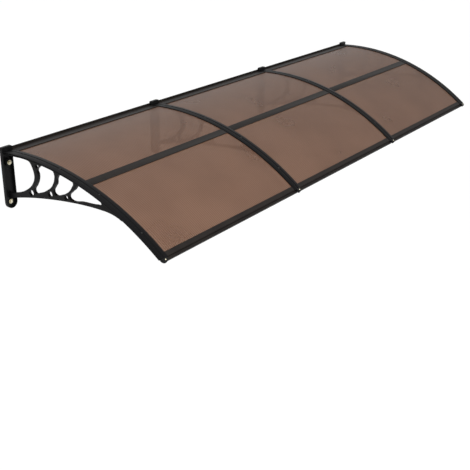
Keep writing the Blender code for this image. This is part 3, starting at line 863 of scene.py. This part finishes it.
@dataclass(frozen=True)
class CoverStrips:
    """The strips that are screwed down over the edges of the sheets."""

    roof: Roof
    width: float = 0.052
    thickness: float = 0.0047
    seat: float = 0.0003
    start_out: float = 0.0163
    end_out: float = 0.9132
    crown: float = 0.0016
    groove_width: float = 0.008
    groove_depth: float = 0.0014
    corner: float = 0.0009
    corner_steps: int = 3
    facet_degrees: float = 1.0
    smooth_degrees: float = 35.0

    def outline(self) -> list[tuple[float, float]]:
        """Gives the cross section as (x, offset) points, with a groove down the middle of its face."""
        half, low, high = self.width / 2, self.seat, self.seat + self.thickness
        groove, floor = self.groove_width / 2, high - self.groove_depth
        edge = high - self.crown
        corners = [(-half, low), (half, low), (half, edge), (groove + self.corner, high), (groove, floor),
                   (-groove, floor), (-groove - self.corner, high), (-half, edge)]
        return round_corners(corners, self.corner * 0.5, self.corner_steps)

    def mesh(self, x: float) -> bmesh.types.BMesh:
        """Bends the cross section along the roof.

        Args:
            x: Place of the strip along the wall.

        Returns:
            A mesh in the making.
        """
        work = bmesh.new()
        first, last = self.roof.swing(self.start_out), self.roof.swing(self.end_out)
        steps = max(1, round(math.degrees(last - first) / self.facet_degrees))
        section = self.outline()
        rings = []
        for step in range(steps + 1):
            angle = first + (last - first) * step / steps
            rings.append([work.verts.new(self.roof.at_angle(angle, x + across, up)) for across, up in section])
        for near, far in zip(rings, rings[1:]):
            for index in range(len(section)):
                work.faces.new((near[index - 1], near[index], far[index], far[index - 1]))
        work.faces.new(rings[0])
        work.faces.new(list(reversed(rings[-1])))
        return work

    def build(self, palette: Palette) -> None:
        """Makes a strip for each bracket."""
        for number in range(1, self.roof.bays + 2):
            item = smooth_object(f"satin_strip_{number}", self.mesh(self.roof.bracket_x(number)),
                                 self.smooth_degrees)
            hand_over(item, f"cover_strip_{number}", palette.strip)


@dataclass(frozen=True)
class TwinWallSheets:
    """The half sheets of each bay: two skins joined by the walls of the flutes, which run down the roof."""

    roof: Roof
    width: float = 0.9874
    flute_pitch: float = 0.011
    skin: float = 0.0006
    wall: float = 0.0009
    facet_degrees: float = 1.5
    smooth_degrees: float = 30.0
    spans: dict = field(default_factory=lambda: {"sheet_rear": (0.0163, 0.4887), "sheet_front": (0.4913, 0.9104)})

    def columns(self) -> list[float]:
        """Gives the places across a sheet where its flutes start and end, with the sheet's own edges."""
        flutes = round((self.width - self.wall) / self.flute_pitch)
        pitch = (self.width - self.wall) / flutes
        places = [-self.width / 2]
        for flute in range(flutes):
            left = -self.width / 2 + self.wall + flute * pitch
            places += [left, left + pitch - self.wall]
        return places + [self.width / 2]

    def mesh(self, x: float, start_out: float, end_out: float) -> bmesh.types.BMesh:
        """Lays the two skins and the flute walls along the roof.

        Args:
            x: Place of the sheet's middle along the wall.
            start_out: Distance from the wall of its rear edge.
            end_out: Distance from the wall of its front edge.

        Returns:
            A mesh in the making, closed all round, with open flutes inside.
        """
        work = bmesh.new()
        levels = (-self.roof.sheet_thickness, self.skin - self.roof.sheet_thickness, -self.skin, 0.0)
        first, last = self.roof.swing(start_out), self.roof.swing(end_out)
        steps = max(1, round(math.degrees(last - first) / self.facet_degrees))
        places = self.columns()
        rings = []
        for step in range(steps + 1):
            angle = first + (last - first) * step / steps
            rings.append([[work.verts.new(self.roof.at_angle(angle, x + across, level)) for across in places]
                          for level in levels])
        edge = len(places) - 1
        for near, far in zip(rings, rings[1:]):
            for column in range(edge):
                in_flute = column % 2 == 1
                for level in (0, 1, 2, 3) if in_flute else (0, 3):
                    work.faces.new((near[level][column], near[level][column + 1],
                                    far[level][column + 1], far[level][column]))
            for column in range(1, edge):
                work.faces.new((near[1][column], near[2][column], far[2][column], far[1][column]))
            for column in (0, edge):
                for level in range(3):
                    work.faces.new((near[level][column], near[level + 1][column],
                                    far[level + 1][column], far[level][column]))
        for ring in (rings[0], rings[-1]):
            for column in range(edge):
                for level in (0, 2) if column % 2 == 1 else (0, 1, 2):
                    work.faces.new((ring[level][column], ring[level][column + 1],
                                    ring[level + 1][column + 1], ring[level + 1][column]))
        return work

    def build(self, palette: Palette) -> None:
        """Makes the rear and the front half sheet of each bay."""
        for row, (start_out, end_out) in self.spans.items():
            for number in range(1, self.roof.bays + 1):
                work = self.mesh(self.roof.bay_x(number), start_out, end_out)
                item = smooth_object(f"twin_wall_{row}_{number}", work, self.smooth_degrees)
                hand_over(item, f"{row}_{number}", palette.sheet)


@dataclass(frozen=True)
class Screws:
    """Pan-head screws with a cross recess, along the strips and in the noses."""

    roof: Roof
    head_radius: float = 0.0035
    head_height: float = 0.0022
    shank_radius: float = 0.0018
    length: float = 0.0100
    recess_reach: float = 0.0019
    recess_width: float = 0.0008
    recess_depth: float = 0.0013
    sides: int = 32
    dome_steps: int = 6
    rim_share: float = 0.4
    recess_foot_share: float = 0.45
    recess_clear: float = 1.5
    merge: float = 0.000001
    smooth_degrees: float = 40.0
    strip_offset: float = 0.0039
    strip_outs: tuple[float, ...] = (0.1200, 0.3467, 0.5733, 0.8000)
    nose_offset: float = 0.0078
    nose_out: float = 0.9210

    def head_profile(self) -> list[tuple[float, float]]:
        """Gives the turned outline as (radius, height) points, from the crown down to the point."""
        dome = []
        for step in range(self.dome_steps + 1):
            angle = math.pi / 2 * step / self.dome_steps
            rise = self.rim_share + (1 - self.rim_share) * math.cos(angle)
            dome.append((self.head_radius * math.sin(angle), self.head_height * rise))
        tip = self.length - self.shank_radius
        return dome + [(self.head_radius, 0.0), (self.shank_radius, 0.0), (self.shank_radius, -tip),
                       (0.0, -self.length)]

    def mesh(self) -> bpy.types.Mesh:
        """Turns the screw and cuts its cross recess.

        Returns:
            The screw's mesh, with its head's seat at z = 0.
        """
        work = bmesh.new()
        profile = [work.verts.new((radius, 0.0, z)) for radius, z in self.head_profile()]
        edges = [work.edges.new(pair) for pair in zip(profile, profile[1:])]
        bmesh.ops.spin(work, geom=profile + edges, cent=(0, 0, 0), axis=(0, 0, 1), angle=2 * math.pi,
                       steps=self.sides, use_duplicate=False)
        bmesh.ops.remove_doubles(work, verts=work.verts, dist=self.merge)
        screw = smooth_object("screw_blank", work, self.smooth_degrees)
        for turn in (0.0, math.pi / 2):
            blade = self.recess_blade(turn)
            cut = screw.modifiers.new("cross_recess", "BOOLEAN")
            cut.operation = "DIFFERENCE"
            cut.object = blade
        bpy.context.view_layer.update()
        made = bpy.data.meshes.new_from_object(screw.evaluated_get(bpy.context.evaluated_depsgraph_get()))
        for modifier in screw.modifiers:
            bpy.data.objects.remove(modifier.object, do_unlink=True)
        bpy.data.objects.remove(screw, do_unlink=True)
        made.name = "cross_recess_screw"
        made.set_sharp_from_angle(angle=math.radians(self.smooth_degrees))
        return made

    def recess_blade(self, turn: float) -> bpy.types.Object:
        """Makes one tapered arm of the cross recess.

        Args:
            turn: Turn about the screw's axis.

        Returns:
            The cutter.
        """
        work = bmesh.new()
        bmesh.ops.create_cube(work, size=1.0)
        top = self.head_height * self.recess_clear
        foot = self.head_height - self.recess_depth
        for vert in work.verts:
            reach = self.recess_reach if vert.co.z > 0 else self.recess_reach * self.recess_foot_share
            height = top if vert.co.z > 0 else foot
            vert.co = Vector((math.copysign(reach, vert.co.x),
                              math.copysign(self.recess_width / 2, vert.co.y), height))
        bmesh.ops.rotate(work, verts=work.verts, cent=(0, 0, 0), matrix=Matrix.Rotation(turn, 3, "Z"))
        return smooth_object("recess_blade", work, self.smooth_degrees)

    def place(self, mesh: bpy.types.Mesh, node: str, placing: Matrix, slot: Slot,
              material: bpy.types.Material) -> None:
        """Sets one screw in its hole.

        Args:
            mesh: Mesh of the screw.
            node: Node that it replaces.
            placing: Placing of its seat.
            slot: Material slot, which is not used.
            material: Its finish.
        """
        item = bpy.data.objects.new(f"cross_{node}", mesh.copy())
        bpy.context.scene.collection.objects.link(item)
        item.matrix_world = placing
        hand_over(item, node, material)

    def build(self, palette: Palette) -> None:
        """Makes the black screws of the strips and the bright one in each nose."""
        mesh = self.mesh()
        for number in range(1, self.roof.bays + 2):
            x = self.roof.bracket_x(number)
            for row, out in enumerate(self.strip_outs, start=1):
                placing = self.roof.seat(out, x, self.strip_offset) @ Matrix.Rotation(row + number, 4, "Z")
                self.place(mesh, f"strip_screw_{number}_{row}", placing, Slot.BLACK_SCREW, palette.black_steel)
            placing = self.roof.seat(self.nose_out, x, self.nose_offset) @ Matrix.Rotation(number, 4, "Z")
            self.place(mesh, f"nose_screw_{number}", placing, Slot.ZINC_STEEL, palette.zinc)


@dataclass(frozen=True)
class WallBolts:
    """Hexagon bolts and washers in the wall plates."""

    roof: Roof
    edge_mm: float = 0.25
    smooth_degrees: float = 35.0
    rows: tuple[str, ...] = ("wall_bolt_upper", "wall_bolt_lower", "washer_upper", "washer_lower")

    def build(self, palette: Palette) -> None:
        """Takes each bolt and washer over with the small radii of forging and stamping."""
        for row in self.rows:
            for number in range(1, self.roof.bays + 2):
                node = f"{row}_{number}"
                item = smooth_object(f"plated_{node}", solid_copy(node), self.smooth_degrees)
                soften(item, self.edge_mm, self.smooth_degrees)
                hand_over(item, node, palette.zinc)


@dataclass(frozen=True)
class Lamp:
    """A softbox: an area lamp that faces the canopy."""

    name: str
    place: tuple[float, float, float]
    size: tuple[float, float]
    power: float
    aim: tuple[float, float, float] = (0.0, -0.45, -0.1)

    def build(self) -> None:
        """Adds the lamp to the scene."""
        light = bpy.data.lights.new(self.name, "AREA")
        light.shape = "RECTANGLE"
        light.size, light.size_y = self.size
        light.energy = self.power
        item = bpy.data.objects.new(self.name, light)
        item.location = self.place
        item.rotation_euler = (Vector(self.aim) - Vector(self.place)).to_track_quat("-Z", "Y").to_euler()
        bpy.context.scene.collection.objects.link(item)


@dataclass(frozen=True)
class Studio:
    """Camera, pale floor, soft light and a white surround."""

    camera_place: tuple[float, float, float] = (-3.886, -3.004, 1.188)
    camera_azimuth: float = -53.57
    camera_down: float = 22.99
    lens: float = 66.68
    sensor: float = 36.0
    shift: tuple[float, float] = (0.0113, -0.0100)
    floor_z: float = -2.2
    floor_size: float = 60.0
    floor_colour: str = "#fbfbfb"
    floor_roughness: float = 0.9
    view_end: float = 200.0
    surround: float = 0.46
    shadow_share: float = 0.12
    floor_glow: float = 1.08

    def build(self) -> None:
        """Sets up the whole studio."""
        self.add_camera()
        self.add_floor()
        self.add_world()
        for lamp in (Lamp("front_softbox", (-2.8, -3.9, 2.3), (3.2, 2.4), 240.0),
                     Lamp("overhead_softbox", (0.4, -0.6, 4.4), (4.0, 2.4), 25.0)):
            lamp.build()
        bpy.context.scene.view_settings.view_transform = "Standard"

    def add_camera(self) -> None:
        """Adds the camera at the photograph's viewing angle."""
        camera = bpy.data.cameras.new("camera")
        camera.sensor_fit = "HORIZONTAL"
        camera.sensor_width = self.sensor
        camera.lens = self.lens
        camera.shift_x, camera.shift_y = self.shift
        camera.clip_end = self.view_end
        item = bpy.data.objects.new("camera", camera)
        item.location = self.camera_place
        item.rotation_euler = (math.radians(90 - self.camera_down), 0.0, math.radians(self.camera_azimuth))
        bpy.context.scene.collection.objects.link(item)
        bpy.context.scene.camera = item

    def add_floor(self) -> None:
        """Adds a pale floor that keeps a soft shadow."""
        work = bmesh.new()
        bmesh.ops.create_grid(work, x_segments=1, y_segments=1, size=self.floor_size / 2)
        bmesh.ops.translate(work, verts=work.verts, vec=(0.0, 0.0, self.floor_z))
        floor = smooth_object("studio_floor", work, 30.0)
        material, tree, shader = start_material("matt_floor_paint")
        shader.inputs["Base Color"].default_value = linear(self.floor_colour)
        shader.inputs["Roughness"].default_value = self.floor_roughness
        white = add_node(tree, "ShaderNodeEmission", {"Color": (1.0, 1.0, 1.0, 1.0), "Strength": self.floor_glow})
        factor = self.bright_rays(tree, 1.0 - self.shadow_share)
        mix = add_node(tree, "ShaderNodeMixShader", {0: factor, 1: shader.outputs[0], 2: white.outputs[0]})
        tree.links.new(mix.outputs[0], tree.nodes["Material Output"].inputs["Surface"])
        floor.data.materials.append(material)

    @staticmethod
    def bright_rays(tree: bpy.types.NodeTree, share: float) -> bpy.types.NodeSocket:
        """Gives the share for rays that show the surround itself, and 0 for rays that only light the canopy."""
        path = add_node(tree, "ShaderNodeLightPath")
        seen = add_node(tree, "ShaderNodeMath", {0: path.outputs["Is Camera Ray"],
                                                 1: path.outputs["Is Glossy Ray"]}, operation="MAXIMUM")
        seen = add_node(tree, "ShaderNodeMath", {0: seen.outputs[0], 1: path.outputs["Is Transmission Ray"]},
                        operation="MAXIMUM")
        return add_node(tree, "ShaderNodeMath", {0: seen.outputs[0], 1: share}, operation="MULTIPLY").outputs[0]

    def add_world(self) -> None:
        """Adds an even white surround."""
        world = bpy.data.worlds.new("white_surround")
        world.use_nodes = True
        tree = world.node_tree
        extra = self.bright_rays(tree, 1.0 - self.surround)
        strength = add_node(tree, "ShaderNodeMath", {0: extra, 1: self.surround}, operation="ADD")
        background = tree.nodes["Background"]
        background.inputs["Color"].default_value = (1.0, 1.0, 1.0, 1.0)
        tree.links.new(strength.outputs[0], background.inputs["Strength"])
        bpy.context.scene.world = world


def main() -> None:
    """Builds the canopy's pieces and the studio."""
    logging.basicConfig(level=logging.INFO, format="%(name)s: %(message)s")
    palette = Palette.build()
    roof = Roof()
    for part in (Brackets(roof), Bars(roof), FrontBars(roof), CoverStrips(roof), TwinWallSheets(roof),
                 Screws(roof), WallBolts(roof)):
        part.build(palette)
    Studio().build()


if __name__ == "__main__":
    main()
